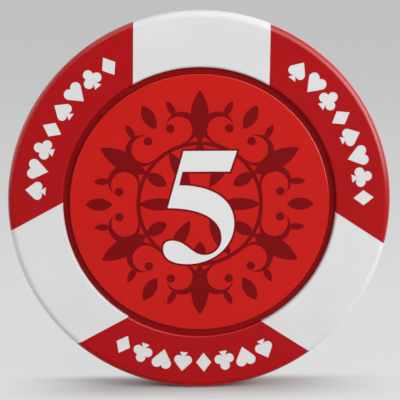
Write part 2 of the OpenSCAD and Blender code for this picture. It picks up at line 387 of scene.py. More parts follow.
def shade(value, amount):
    """A colour made lighter or darker by a factor."""
    return tuple(min(1, part * amount) for part in value)


def moulded_plastic(name, tone, roughness, mouth_shade):
    """Satin plastic: a fine mould grain, a slow drift of colour and a rim worn by handling.

    Painted shade darkens the foot of the groove, and the last argument says how much of it darkens the
    mouth of the recess instead, where it dims the light on the rounding.
    """
    finish = Finish(name)
    grain = finish.noise(0.11 * MM, detail=3)
    drift = finish.noise(5 * MM)
    scuffs = finish.noise(0.9 * MM, detail=6)
    body = bpy.context.scene.chip_body
    out = finish.from_axis()
    flat_end = RIM_RADIUS - body.rim_fillet
    mouth = RIM_RADIUS - body.ring_width
    rim = finish.rise(out, flat_end - 0.1 * MM, flat_end + 0.1 * MM)
    inside = 1 - finish.rise(out, mouth - 0.05 * MM, mouth + 0.1 * MM)
    worn = rim * finish.rise(scuffs, 0.56, 0.7)
    mottle = 0.5 + (grain - 0.5) * 0.5 + (drift - 0.5) * 0.9 + worn * 0.3
    unshaded = finish.blend(mottle, shade(tone, 0.93), shade(tone, 1.07))
    edge = 1 - finish.rise(out, mouth + 0.1 * MM, mouth + 0.26 * MM)
    foot = finish.rise(finish.depth(), 0.15 * MM, 0.45 * MM) * inside
    # Painted shade: darker at the foot of the groove and on the rounded mouth of the recess
    painted_shade = foot * (FOOT_SHADE - mouth_shade) + edge * mouth_shade
    return finish.surface({
        "Base Color": finish.blend(painted_shade, unshaded, shade(tone, 0.45)),
        "Roughness": roughness + (grain - 0.5) * (1 - rim * 0.8) * 0.1 + worn * 0.04,
        "Specular IOR Level": SPECULAR_LEVEL,
        "Normal": finish.bump((grain + scuffs * 0.3) * (1 - rim * 0.95), GRAIN_DEPTH),
    })


def inlay_film(name, tone):
    """Printed vinyl film, with the faint pebble of its laminate."""
    finish = Finish(name)
    pebble = finish.noise(PEBBLE)
    drift = finish.noise(4 * MM)
    mottle = 0.5 + (pebble - 0.5) * 0.5 + (drift - 0.5) * 0.8
    prints = bpy.context.scene.chip_print
    flat_end = prints.inlay_radius - prints.inlay_edge
    cut_edge = finish.rise(finish.from_axis(), flat_end - 0.05 * MM, flat_end + 0.02 * MM)
    return finish.surface({
        "Base Color": finish.blend(mottle, shade(tone, 0.94), shade(tone, 1.06)),
        "Roughness": FILM_ROUGHNESS + (pebble - 0.5) * 0.1 - cut_edge * 0.03,
        "Specular IOR Level": SPECULAR_LEVEL,
        "Normal": finish.bump(pebble, GRAIN_DEPTH),
    })


def printed_ink(name, tone):
    """Screen-printed ink, a little thinner here and there, over the pebble of the film."""
    finish = Finish(name)
    pebble = finish.noise(PEBBLE)
    cover = finish.noise(1.2 * MM, detail=3)
    mottle = 0.5 + (pebble - 0.5) * 0.7 + (cover - 0.5) * 0.4
    return finish.surface({
        "Base Color": finish.blend(mottle, shade(tone, 0.93), shade(tone, 1.07)),
        "Roughness": FILM_ROUGHNESS + (pebble - 0.5) * 0.1,
        "Specular IOR Level": SPECULAR_LEVEL,
        "Normal": finish.bump(pebble, GRAIN_DEPTH),
    })


def rolled_steel(name, tone):
    """Punched sheet steel with the fine lines of its rolling."""
    finish = Finish(name)
    lines = finish.noise(0.2 * MM, detail=4, stretch=(0.04, 1, 1))
    stains = finish.noise(3 * MM, detail=4)
    return finish.surface({
        "Base Color": finish.blend(stains, shade(tone, 0.85), shade(tone, 1.15)),
        "Metallic": 1,
        "Roughness": 0.26 + lines * 0.18,
        "Normal": finish.bump(lines, 0.004 * MM),
    })


def dried_glue(name, tone):
    """A thin film of dried glue with brushed-out streaks."""
    finish = Finish(name)
    streaks = finish.noise(0.6 * MM, detail=4, stretch=(1, 1, 0.2))
    return finish.surface({
        "Base Color": finish.blend(streaks, shade(tone, 0.85), shade(tone, 1.15)),
        "Roughness": 0.45 + streaks * 0.2,
        "Normal": finish.bump(streaks, 0.01 * MM),
    })


def finish_for(slot):
    """The material of a record slot, made once."""
    tones = bpy.context.scene.chip_colours
    makers = {
        # The last value of a plastic is its painted shade at the mouth of the recess
        "red_body": (moulded_plastic, tones.body_red, 0.22, 0),
        "white_insert": (moulded_plastic, tones.insert_white, 0.34, 0.24),
        "white_mark": (moulded_plastic, tones.insert_white, 0.34, 0.24),
        "inlay_film": (inlay_film, tones.film_red),
        "dark_ink": (printed_ink, tones.dark_ink),
        "white_ink": (printed_ink, tones.white_ink),
        "slug_steel": (rolled_steel, tones.steel),
        "inlay_glue": (dried_glue, tones.glue),
    }
    name = "chip_" + slot
    maker, *values = makers[slot]
    return bpy.data.materials.get(name) or maker(name, *values)


class Recipe(Graph):
    """A Geometry Nodes tree with named inputs, baked to a plain mesh."""

    def __init__(self, name, inputs):
        super().__init__(bpy.data.node_groups.new(name, "GeometryNodeTree"))
        panel = self.tree.interface
        panel.new_socket("Geometry", in_out="OUTPUT", socket_type="NodeSocketGeometry")
        self.values = {}
        for label, (kind, value) in inputs.items():
            socket = panel.new_socket(label, in_out="INPUT", socket_type="NodeSocket" + kind)
            self.values[socket.identifier] = value
        entry = self.tree.nodes.new("NodeGroupInput")
        self.inputs = {label: Wire(self, entry.outputs[label]) for label in inputs}

    def solid(self, flat, height):
        """Raises flat faces along Z into closed solids."""
        raised = self.node(
            "GeometryNodeExtrudeMesh",
            {"mode": "FACES"},
            {"Mesh": flat, "Offset": (0, 0, 1), "Offset Scale": height, "Individual": False},
        )
        base = self.node("GeometryNodeFlipFaces", {}, {"Mesh": flat})
        both = self.node("GeometryNodeJoinGeometry", {}, {"Geometry": [raised, base]})
        return self.node("GeometryNodeMergeByDistance", {}, {"Geometry": both, "Distance": RAISED_WELD})

    def bake(self, geometry, slot):
        """The tree's result as a mesh in the slot's material."""
        whole = self.node("GeometryNodeRealizeInstances", {}, {"Geometry": geometry})
        dressed = self.node(
            "GeometryNodeSetMaterial", {}, {"Geometry": whole, "Material": finish_for(slot)}
        )
        self.node("NodeGroupOutput", {}, {"Geometry": dressed})
        holder = new_object(self.tree.name, bpy.data.meshes.new(self.tree.name))
        modifier = holder.modifiers.new("recipe", "NODES")
        modifier.node_group = self.tree
        for identifier, value in self.values.items():
            modifier[identifier] = value
        mesh = evaluated_mesh(holder)
        bpy.data.objects.remove(holder)
        bpy.data.node_groups.remove(self.tree)
        return mesh


def new_object(name, mesh):
    made = bpy.data.objects.new(name, mesh)
    bpy.context.scene.collection.objects.link(made)
    return made


def evaluated_mesh(holder):
    """A plain copy of an object's mesh with its modifiers applied."""
    graph = bpy.context.evaluated_depsgraph_get()
    return bpy.data.meshes.new_from_object(holder.evaluated_get(graph))


def combined(mesh, tool, operation):
    """A mesh joined with another one, or cut by it."""
    holder = new_object("work", mesh)
    cutter = new_object("tool", tool)
    modifier = holder.modifiers.new("combine", "BOOLEAN")
    modifier.operation = operation
    modifier.solver = "EXACT"
    modifier.object = cutter
    result = evaluated_mesh(holder)
    for used in (holder, cutter):
        bpy.data.objects.remove(used)
    return result


def as_mesh(bm, name):
    """A new mesh from a bmesh, which is used up."""
    mesh = bpy.data.meshes.new(name)
    bm.to_mesh(mesh)
    bm.free()
    return mesh


def finished(bm, name):
    """Turns a bmesh of a closed shell into a mesh whose faces point outwards."""
    bmesh.ops.delete(bm, geom=[v for v in bm.verts if not v.link_faces], context="VERTS")
    bmesh.ops.recalc_face_normals(bm, faces=bm.faces)
    return as_mesh(bm, name)


def welded(mesh):
    """Closes the hair-fine slits that cutting leaves, and splits faces of many corners."""
    bm = bmesh.new()
    bm.from_mesh(mesh)
    bmesh.ops.remove_doubles(bm, verts=bm.verts, dist=MESH_WELD)
    bmesh.ops.dissolve_degenerate(bm, edges=bm.edges, dist=MESH_WELD)
    bmesh.ops.holes_fill(bm, edges=[edge for edge in bm.edges if edge.is_boundary])
    many = [face for face in bm.faces if len(face.verts) > 4]
    bmesh.ops.triangulate(bm, faces=many, ngon_method="BEAUTY")
    bmesh.ops.recalc_face_normals(bm, faces=bm.faces)
    bm.to_mesh(mesh)
    bm.free()


def add_piece(name, mesh, place, slot, node):
    """Puts a finished mesh in its place, as the piece that stands for a CAD node."""
    welded(mesh)
    mesh.transform(place)
    mesh.materials.clear()
    mesh.materials.append(finish_for(slot))
    mesh.shade_smooth()
    mesh.set_sharp_from_angle(angle=SHARP_ANGLE)
    piece = new_object(name, mesh)
    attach(piece, "root")
    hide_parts(node)
    return piece


def arc(centre, radius, start, end, steps=CURVE_STEPS):
    """Points along an arc, both ends included."""
    turns = [start + (end - start) * i / steps for i in range(steps + 1)]
    return [(centre[0] + radius * cos(a), centre[1] + radius * sin(a)) for a in turns]


def circle(centre, radius, steps):
    return arc(centre, radius, 0, tau, steps)[:-1]


def turned(points, angle, shift=(0, 0)):
    """Points turned about the origin and then moved."""
    c, s = cos(angle), sin(angle)
    return [(x * c - y * s + shift[0], x * s + y * c + shift[1]) for x, y in points]


def mirrored(points):
    return [(-x, y) for x, y in reversed(points)]


def counter_clockwise(outline):
    """The outline, turned round if it runs clockwise."""
    following = [*outline[1:], outline[0]]
    area = sum(ax * by - bx * ay for (ax, ay), (bx, by) in zip(outline, following))
    return list(outline) if area > 0 else list(reversed(outline))


def lathe(profile, steps, centre=(0, 0), bm=None):
    """A closed shell turned from a profile of (radius, height) that starts and ends on the axis."""
    bm = bm or bmesh.new()
    rows = []
    for radius, height in profile:
        around = circle(centre, radius, steps) if radius else [centre]
        rows.append([bm.verts.new((x, y, height)) for x, y in around])
    for lower, upper in zip(rows, rows[1:]):
        for i in range(steps):
            corners = ((lower, i), (lower, i + 1), (upper, i + 1), (upper, i))
            bm.faces.new(dict.fromkeys(row[j % len(row)] for row, j in corners))
    return bm


def snapped(point):
    """A flat point, moved to the nearest one of a fine grid."""
    return Vector([round(part / OUTLINE_WELD) * OUTLINE_WELD for part in point])


def slab(name, shapes, cuts, low, high):
    """A closed plate that covers all the shapes and none of the cuts, all of them flat outlines."""
    points, outlines = [], []
    for outline in map(counter_clockwise, [*shapes, *cuts]):
        outlines.append(list(range(len(points), len(points) + len(outline))))
        points += map(snapped, outline)
    flat, _, triangles, _, _, owners = delaunay_2d_cdt(points, [], outlines, 0, OUTLINE_WELD)
    kept = [t for t, own in zip(triangles, owners) if own and max(own) < len(shapes)]
    bm = bmesh.new()
    bottom = [bm.verts.new((*point, low)) for point in flat]
    top = [bm.verts.new((*point, high)) for point in flat]
    edges = {(t[i - 1], t[i]) for t in kept for i in range(3)}
    for t in kept:
        bm.faces.new([top[i] for i in t])
        bm.faces.new([bottom[i] for i in reversed(t)])
    for a, b in edges:
        if (b, a) not in edges:
            bm.faces.new((bottom[a], bottom[b], top[b], top[a]))
    return finished(bm, name)


def ring_outline(body):
    """Section of the ring's front as (radius, height), from the recess wall over the face to the rim."""
    recess = RIM_RADIUS - body.ring_width
    mouth, fillet = body.mouth_radius, body.rim_fillet
    inner = arc((recess + mouth, FACE - mouth), mouth, pi, pi / 2, MOUTH_STEPS)
    outer = arc((RIM_RADIUS - fillet, FACE - fillet), fillet, pi / 2, 0, RIM_STEPS)
    face = [(inner[-1][0] + HOLDING_BAND, FACE), (outer[0][0] - HOLDING_BAND, FACE)]
    return [*inner, *face, *outer]


def insert_directions(body, side="front"):
    """Directions of the right, top and left insert, counter-clockwise as seen from one side."""
    seen = [body.right_insert - tau, body.top_insert, body.left_insert]
    return seen if side == "front" else [pi - angle for angle in reversed(seen)]


def with_the_next(directions):
    """Pairs of each direction and the one that follows it round the chip."""
    return zip(directions, [*directions[1:], directions[0] + tau])


def stretch_directions(body, side):
    """Directions of the red stretches, each halfway between two inserts."""
    return [(a + b) / 2 for a, b in with_the_next(insert_directions(body, side))]


def half_shell(body, side):
    """One moulded half with its recess, its slug pocket and the seats of the inserts."""
    recess = RIM_RADIUS - body.ring_width
    wall = recess - body.joint_gap
    root = wall - body.tongue_length
    seat = body.insert_width / 2 + body.joint_gap
    groove = body.tongue_thickness / 2 + body.joint_gap
    pocket = body.slug_diameter / 2 + body.slug_gap
    ceiling = SLUG_TOP + body.slug_gap
    inserts = insert_directions(body, side)
    bm = bmesh.new()

    def loop(radius, height):
        reach = max(radius, root)
        lean = asin(seat / reach)
        angles = []
        for bar, following in with_the_next(inserts):
            angles += [bar + asin(seat * (2 * i / BAR_CELLS - 1) / reach) for i in range(BAR_CELLS)]
            turn = following - bar - 2 * lean
            angles += [bar + lean + turn * i / STRETCH_CELLS for i in range(STRETCH_CELLS)]
        return [bm.verts.new((radius * cos(a), radius * sin(a), height)) for a in angles]

    def skin(rows, cells):
        for lower, upper in zip(rows, rows[1:]):
            for i in cells:
                j = (i + 1) % len(lower)
                bm.faces.new((lower[i], lower[j], upper[j], upper[i]))

    floor = [loop(radius, RECESS_FLOOR) for radius in (root / 2, root, wall)]
    rim = [(RIM_RADIUS, body.seam), (RIM_RADIUS - body.seam, 0)]
    ring = [loop(*spot) for spot in [(recess, RECESS_FLOOR), *ring_outline(body), *rim]]
    seats = [loop(wall, groove), loop(root, groove)]
    under = [loop(*spot) for spot in [(root, 0), (pocket, 0), (pocket, ceiling), (pocket / 2, ceiling)]]

    unit = BAR_CELLS + STRETCH_CELLS
    columns = range(unit * len(inserts))
    skin(floor, columns)
    skin([floor[-1], *ring, under[0]], [i for i in columns if i % unit >= BAR_CELLS])
    skin([floor[-1], *seats, under[0]], [i for i in columns if i % unit < BAR_CELLS])
    skin(under, columns)
    for i in columns:
        if i % unit in (0, BAR_CELLS):
            bm.faces.new([row[i] for row in [floor[-1], *ring, under[0], *reversed(seats)]])
    for row, height in ((floor[0], RECESS_FLOOR), (under[-1], ceiling)):
        centre = bm.verts.new((0, 0, height))
        for i in columns:
            bm.faces.new((row[i - 1], row[i], centre))
    return finished(bm, "half")


def boss_spots(body, side):
    """Middles of the three bosses."""
    return [
        (body.boss_circle * cos(a), body.boss_circle * sin(a)) for a in stretch_directions(body, side)
    ]


def turned_pins(profile, spots):
    """One turned shape at each spot, as one mesh."""
    bm = bmesh.new()
    for spot in spots:
        lathe(profile, BOSS_STEPS, spot, bm)
    return finished(bm, "pins")


def moulded_half(body, marks, side):
    """A half with its bosses, its spigots or sockets, and the seats of its mark strips."""
    mesh = half_shell(body, side)
    seats = [strip_mesh(body, marks, body.joint_gap, a) for a in stretch_directions(body, side)]
    for seat in seats:
        mesh = combined(mesh, seat, "DIFFERENCE")
    boss, spigot = body.boss_diameter / 2, body.spigot_diameter / 2
    rooted = (RECESS_FLOOR + SLUG_TOP + body.slug_gap) / 2
    spots = boss_spots(body, side)
    pin = [(0, rooted), (boss, rooted), (boss, 0), (0, 0)]
    if side == "front":
        pin[3:] = [(spigot, 0), (spigot, -body.spigot_length), (0, -body.spigot_length)]
    mesh = combined(mesh, turned_pins(pin, spots), "UNION")
    if side == "back":
        hole, depth = spigot + body.spigot_gap, body.spigot_length + body.spigot_gap
        socket = [(0, depth), (hole, depth), (hole, -depth), (0, -depth)]
        mesh = combined(mesh, turned_pins(socket, spots), "DIFFERENCE")
    return mesh


def edge_insert(body, angle):
    """A white bar across the ring, both faces and the rim, with the tongue that the halves trap."""
    recess = RIM_RADIUS - body.ring_width
    lip = body.tongue_thickness / 2
    front = [(recess - body.tongue_length, lip), (recess, lip), *ring_outline(body)]
    section = [*front, *[(radius, -height) for radius, height in reversed(front)]]
    bm = bmesh.new()
    columns = []
    for i in range(BAR_CELLS + 1):
        x = body.insert_width * (i / BAR_CELLS - 0.5)
        column = turned([(x, sqrt(r * r - x * x)) for r, _ in section], angle - pi / 2)
        columns.append([bm.verts.new((*spot, height)) for spot, (_, height) in zip(column, section)])
    for left, right in zip(columns, columns[1:]):
        for i in range(len(section)):
            bm.faces.new((left[i - 1], left[i], right[i], right[i - 1]))
    for end in (columns[0], columns[-1]):
        bm.faces.new(end)
    return finished(bm, "insert")


def lobed(tip, lobe, radius):
    """Right half of a shape with two round lobes and a tip, from the tip to the notch."""
    dx, dy = lobe[0] - tip[0], lobe[1] - tip[1]
    start = atan2(dy, dx) - pi + acos(radius / hypot(dx, dy))
    notch = pi - acos(lobe[0] / radius)
    return [tip, *arc(lobe, radius, start, notch)]


def pip_outlines():
    """Outlines of the four suits, one unit high."""
    stem_foot, stem_top, stem_low = 0.2, 0.05, -0.5
    heart = lobed((0, -0.5), (0.235, 0.24), 0.26)
    spade = [(x, -y) for x, y in lobed((0, -0.5), (0.22, 0.1), 0.23)]
    stem = [(stem_foot, stem_low)]
    spade = [point for point in spade if point[0] > stem_top / 2 or point[1] > 0] + stem
    leaf, top_leaf, side_leaf = 0.24, (0, 0.26), (0.25, -0.09)
    meet = touching(top_leaf, side_leaf, leaf)
    club = [
        *arc(top_leaf, leaf, pi / 2, atan2(meet[1] - top_leaf[1], meet[0] - top_leaf[0])),
        *arc(side_leaf, leaf, atan2(meet[1] - side_leaf[1], meet[0] - side_leaf[0]), -pi * 0.8)[1:],
        *stem,
    ]
    diamond = [(0, 0.5), (0.38, 0), (0, -0.5)]
    return {
        "pip_0_spade": closed_by_mirror(spade),
        "pip_1_heart": closed_by_mirror(heart),
        "pip_2_club": closed_by_mirror(club),
        "pip_3_diamond": closed_by_mirror(diamond),
    }


def touching(first, second, radius):
    """The outer crossing of two equal circles."""
    dx, dy = second[0] - first[0], second[1] - first[1]
    apart = hypot(dx, dy)
    rise = sqrt(radius * radius - apart * apart / 4) / apart
    return ((first[0] + second[0]) / 2 - dy * rise, (first[1] + second[1]) / 2 + dx * rise)


def closed_by_mirror(right):
    """A whole outline from its right half, without doubling points on the middle line."""
    return [*right, *[point for point in mirrored(right) if abs(point[0]) > MIDDLE_LINE]]


def flat_mesh(name, outlines):
    """One face for each outline."""
    bm = bmesh.new()
    for outline in map(counter_clockwise, outlines):
        bm.faces.new([bm.verts.new((x, y, 0)) for x, y in outline])
    return as_mesh(bm, name)


def strip_sizes(body, marks):
    """Where a strip and its marks lie: circle radius, strip width, half turns and number of marks."""
    circle_radius = RIM_RADIUS - body.ring_width / 2
    width = marks.height + 2 * marks.strip_edge
    shortest = min(b - a for a, b in with_the_next(insert_directions(body)))
    inner = circle_radius - width / 2
    strip_turn = shortest / 2 - asin((body.insert_width / 2 + marks.strip_wall) / inner)
    mark_turn = strip_turn - asin((marks.height / 2 + marks.strip_edge) / circle_radius)
    count = int(2 * mark_turn * circle_radius / (marks.height + marks.least_gap)) + 1
    return circle_radius, width, strip_turn, mark_turn, count


def strip_mesh(body, marks, gap, angle):
    """The strip of one red stretch with its suit marks, which a gap turns into the tool for its seat."""
    circle_radius, width, strip_turn, mark_turn, count = strip_sizes(body, marks)
    pips = bpy.data.collections.new("pips")
    for name, outline in pip_outlines().items():
        pips.objects.link(bpy.data.objects.new(name, flat_mesh(name, [outline])))
    recipe = Recipe("mark_strip", {
        "Pips": ("Collection", pips),
        "Marks": ("Int", count),
        "Mark Turn": ("Float", mark_turn),
        "Mark Height": ("Float", marks.height),
        "Circle Radius": ("Float", circle_radius),
        "Strip Width": ("Float", width),
        "Strip Turn": ("Float", strip_turn),
        "Strip Thickness": ("Float", marks.strip_thickness),
        "Face Height": ("Float", FACE + (MM if gap else 0)),
        "Gap": ("Float", gap),
    })
    total, turn, height, radius, wide, strip_end, thick, face, room = list(recipe.inputs.values())[1:]
    index = recipe.node("GeometryNodeInputIndex")

    path = recipe.node("GeometryNodeCurveArc", {"mode": "RADIUS"}, {
        "Resolution": total,
        "Radius": radius,
        "Start Angle": turn + pi / 2,
        "Sweep Angle": turn * -2,
    })
    suits = recipe.node("GeometryNodeCollectionInfo", {}, {
        "Collection": recipe.inputs["Pips"], "Separate Children": True, "Reset Children": True,
    })
    lean = recipe.vector(z=turn - index * turn * 2 / (total - 1))
    row = recipe.node("GeometryNodeInstanceOnPoints", {}, {
        "Points": path,
        "Instance": suits,
        "Pick Instance": True,
        "Instance Index": index % len(pips.objects),
        "Rotation": lean,
        "Scale": height + room * 2,
    })
    flat = recipe.node("GeometryNodeRealizeInstances", {}, {"Geometry": row})
    foot = recipe.vector(z=thick / 2)
    lifted = recipe.node("GeometryNodeSetPosition", {}, {"Geometry": flat, "Offset": foot})
    raised = recipe.solid(lifted, face - thick / 2)

    grid = recipe.node("GeometryNodeMeshGrid", {}, {
        "Size X": wide + room * 2,
        "Size Y": (strip_end + room / radius) * 2,
        "Vertices X": 2,
        "Vertices Y": STRIP_STEPS,
    })
    spot = recipe.node("GeometryNodeInputPosition")
    reach = radius + recipe.part(spot, "X")
    around = recipe.part(spot, "Y") + pi / 2
    bent = recipe.vector(
        reach * recipe.maths("COSINE", around), reach * recipe.maths("SINE", around), 0 - room
    )
    band = recipe.node("GeometryNodeSetPosition", {}, {"Geometry": grid, "Position": bent})
    strip = recipe.solid(band, thick + room * 2)

    joined = recipe.node(
        "GeometryNodeMeshBoolean", {"operation": "UNION", "solver": "EXACT"}, {1: [strip, raised]}
    )
    mesh = recipe.bake(joined, "white_mark")
    for pip in list(pips.objects):
        bpy.data.objects.remove(pip)
    bpy.data.collections.remove(pips)
    mesh.transform(Matrix.Rotation(angle - pi / 2, 4, "Z"))
    return mesh


def pointed_leaf(long, wide):
    """A leaf with a point at each end, from the origin along +Y."""
    bow = (long * long + wide * wide) / (4 * wide)
    reach = asin(long / 2 / bow)
    right = arc((wide / 2 - bow, long / 2), bow, -reach, reach)
    return closed_by_mirror(right)


def curl_outlines(print_sizes):
    """A curl that opens to the lower right, its bead and its sprig, about the curl's middle."""
    p = print_sizes
    shift = (p.curl_back + p.curl_break) / 2
    hollow = p.curl + shift - p.curl_back
    across = (shift * shift + p.curl * p.curl - hollow * hollow) / (2 * shift)
    rise = sqrt(p.curl * p.curl - across * across)
    outer, inner = atan2(rise, across), atan2(rise, across - shift)
    back = arc((0, 0), p.curl, outer, tau - outer, 2 * CURVE_STEPS)
    crescent = [*back, *arc((shift, 0), hollow, tau - inner, inner, 2 * CURVE_STEPS)[1:-1]]
    bead = circle((p.curl - p.bead / 2, 0), p.bead / 2, CURVE_STEPS)
    sprig = [(x, y + p.curl - p.curl_back / 2) for x, y in pointed_leaf(p.sprig, p.sprig_width)]
    return [turned(crescent, p.curl_opens), turned(bead, p.bead_at), turned(sprig, p.sprig_leans)]


def flower_outlines(print_sizes, circle_radius):
    """A flower that stands on the circle, towards +Y, with its own stretch of the circle."""
    p = print_sizes
    shapes = [
        pointed_leaf(p.petal, p.petal_width),
        turned(pointed_leaf(p.foot, p.foot_width), pi),
    ]
    for curl in curl_outlines(p):
        right = turned(curl, 0, (p.curl + p.circle_width / 2, p.curl))
        shapes += [right, mirrored(right)]
    shapes = [turned(shape, 0, (0, circle_radius)) for shape in shapes]
    half = pi / p.flowers
    middle = pi / 2 + half / 4
    line = p.circle_width / 2
    outer = arc((0, 0), circle_radius + line, middle - half, middle + half)
    inner = arc((0, 0), circle_radius - line, middle + half, middle - half)
    return [*shapes, [*outer, *inner]]


def leaf_outlines(print_sizes, circle_radius):
    """The leaf outside the circle and the ray inside it, between two flowers."""
    p = print_sizes
    outside = turned(pointed_leaf(p.leaf, p.leaf_width), 0, (0, circle_radius + p.petal - p.leaf))
    inside = turned(pointed_leaf(p.ray, p.ray_width), 0, (0, circle_radius - p.ray))
    return [outside, inside]


def rosette_outlines(print_sizes):
    """Outlines of the whole ornament: flowers round a circle, with leaves and rays between them."""
    circle_radius = print_sizes.inlay_radius - print_sizes.margin - print_sizes.petal
    motifs = {
        "Flower": flower_outlines(print_sizes, circle_radius),
        "Leaf": leaf_outlines(print_sizes, circle_radius),
    }
    holders = {
        name: bpy.data.objects.new(name, flat_mesh(name, shapes)) for name, shapes in motifs.items()
    }
    recipe = Recipe("rosette", {
        "Flowers": ("Int", print_sizes.flowers),
        **{name: ("Object", holder) for name, holder in holders.items()},
    })
    count = recipe.inputs["Flowers"]
    index = recipe.node("GeometryNodeInputIndex")
    middle = recipe.node("GeometryNodePoints", {}, {"Count": count})
    rings = []
    for name, step in (("Flower", 0), ("Leaf", 0.5)):
        motif = recipe.node(
            "GeometryNodeObjectInfo", {}, {"Object": recipe.inputs[name], "As Instance": True}, "Geometry"
        )
        spin = recipe.vector(z=(index + step) * tau / count)
        rings.append(recipe.node(
            "GeometryNodeInstanceOnPoints", {}, {"Points": middle, "Instance": motif, "Rotation": spin}
        ))
    whole = recipe.node("GeometryNodeJoinGeometry", {}, {"Geometry": rings})
    mesh = recipe.bake(whole, "dark_ink")
    for holder in holders.values():
        bpy.data.objects.remove(holder)
    return [[mesh.vertices[i].co.xy[:] for i in face.vertices] for face in mesh.polygons]


def numeral_outline():
    """The numeral 5, a straight flag and a bowl of curves, as tall as the CAD numeral and where it is."""
    # In hundredths of its height
    flag = [(-14, 100), (32, 100), (26, 82), (-15, 82), (-18, 70)]
    curves = [
        [(-18, 70), (7, 70), (30, 60), (30, 36)],
        [(30, 36), (30, 15), (11, 0), (-10, 0)],
        [(-10, 0), (-25, 0), (-32, 5), (-32, 14)],
        [(-32, 14), (-32, 19), (-29, 21), (-24, 21)],
        [(-24, 21), (-12, 21), (-7, 8), (4, 8)],
        [(4, 8), (13, 8), (19, 15), (19, 23)],
        [(19, 23), (19, 40), (1, 50), (-28, 50)],
    ]
    low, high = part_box("front_numeral")
    unit = (high.z - low.z) / 100
    points = [Vector(point) for point in flag]
    for a, b, c, d in ([Vector(point) for point in curve] for curve in curves):
        for i in range(1, CURVE_STEPS + 1):
            t = i / CURVE_STEPS
            u = 1 - t
            points.append(u**3 * a + 3 * t * u * u * b + 3 * t * t * u * c + t**3 * d)
    return [(p.x * unit, p.y * unit + low.z - RIM_RADIUS) for p in points]


def grown(outline, margin):
    """An outline moved outwards, with its corners kept sharp."""
    points = [Vector(point) for point in counter_clockwise(outline)]
    result = []
    for before, here, after in zip([points[-1], *points[:-1]], points, [*points[1:], points[0]]):
        first = (here - before).normalized()
        second = (after - here).normalized()
        out = Vector((first.y + second.y, -first.x - second.x))
        result.append(here + out * margin / (1 + first.dot(second)))
    return [point[:] for point in result]


class CHIP_OT_halves(Operator):
    """Build the two moulded red halves"""

    bl_idname = "chip.halves"
    bl_label = "Moulded Halves"

    def execute(self, context):
        scene = context.scene
        for side, place in FACES.items():
            mesh = moulded_half(scene.chip_body, scene.chip_marks, side)
            add_piece("moulded_half_" + side, mesh, place, "red_body", side + "_half")
        return {"FINISHED"}


class CHIP_OT_inserts(Operator):
    """Build the three white edge inserts"""

    bl_idname = "chip.inserts"
    bl_label = "Edge Inserts"

    def execute(self, context):
        body = context.scene.chip_body
        for name, angle in zip(("right", "top", "left"), insert_directions(body)):
            mesh = edge_insert(body, angle)
            add_piece("moulded_insert_" + name, mesh, STANDING, "white_insert", "edge_insert_" + name)
        return {"FINISHED"}


class CHIP_OT_marks(Operator):
    """Build the six strips of white suit marks"""

    bl_idname = "chip.marks"
    bl_label = "Suit Marks"

    def execute(self, context):
        scene = context.scene
        sides = {"front": ("right", "left", "bottom"), "back": ("left", "right", "bottom")}
        for face, place in FACES.items():
            angles = stretch_directions(scene.chip_body, face)
            for name, angle in zip(sides[face], angles):
                mesh = strip_mesh(scene.chip_body, scene.chip_marks, 0, angle)
                add_piece(f"mark_row_{face}_{name}", mesh, place, "white_mark", f"{face}_marks_{name}")
        return {"FINISHED"}


class CHIP_OT_core(Operator):
    """Build the steel slug and the glue under the inlays"""

    bl_idname = "chip.core"
    bl_label = "Slug and Glue"

    def execute(self, context):
        body = context.scene.chip_body
        hole = body.boss_diameter / 2 + body.boss_gap
        rim = circle((0, 0), body.slug_diameter / 2, LATHE_STEPS)
        holes = [circle(spot, hole, BOSS_STEPS) for spot in boss_spots(body, "front")]
        mesh = slab("slug", [rim], holes, -SLUG_TOP, SLUG_TOP)
        add_piece("punched_slug", mesh, STANDING, "slug_steel", "steel_slug")
        prints = context.scene.chip_print
        spread = circle((0, 0), prints.inlay_radius - prints.inlay_edge, LATHE_STEPS)
        for side, place in FACES.items():
            mesh = slab("glue", [spread], [], RECESS_FLOOR, GLUE_TOP)
            add_piece("glue_film_" + side, mesh, place, "inlay_glue", side + "_adhesive")
        return {"FINISHED"}


class CHIP_OT_inlays(Operator):
    """Build the two inlay discs"""

    bl_idname = "chip.inlays"
    bl_label = "Inlay Films"

    def execute(self, context):
        prints = context.scene.chip_print
        radius, edge = prints.inlay_radius, prints.inlay_edge
        rounding = arc((radius - edge, FILM_TOP - edge), edge, 0, pi / 2, MOUTH_STEPS)
        top = [(radius - edge - HOLDING_BAND, FILM_TOP), (0, FILM_TOP)]
        profile = [(0, GLUE_TOP), (radius, GLUE_TOP), *rounding, *top]
        for side, place in FACES.items():
            mesh = finished(lathe(profile, LATHE_STEPS), "film")
            add_piece("inlay_film_" + side, mesh, place, "inlay_film", side + "_inlay")
        return {"FINISHED"}


class CHIP_OT_prints(Operator):
    """Build the printed ornament and the numeral on each inlay"""

    bl_idname = "chip.prints"
    bl_label = "Prints"

    def execute(self, context):
        prints = context.scene.chip_print
        numeral = numeral_outline()
        ornament = [*rosette_outlines(prints), grown(numeral, prints.outline)]
        top = FILM_TOP + prints.ink
        for side, place in FACES.items():
            mesh = slab("ornament", ornament, [numeral], FILM_TOP, top)
            add_piece("ornament_print_" + side, mesh, place, "dark_ink", side + "_ornament")
            mesh = slab("numeral", [numeral], [], FILM_TOP, top)
            add_piece("numeral_print_" + side, mesh, place, "white_ink", side + "_numeral")
        return {"FINISHED"}


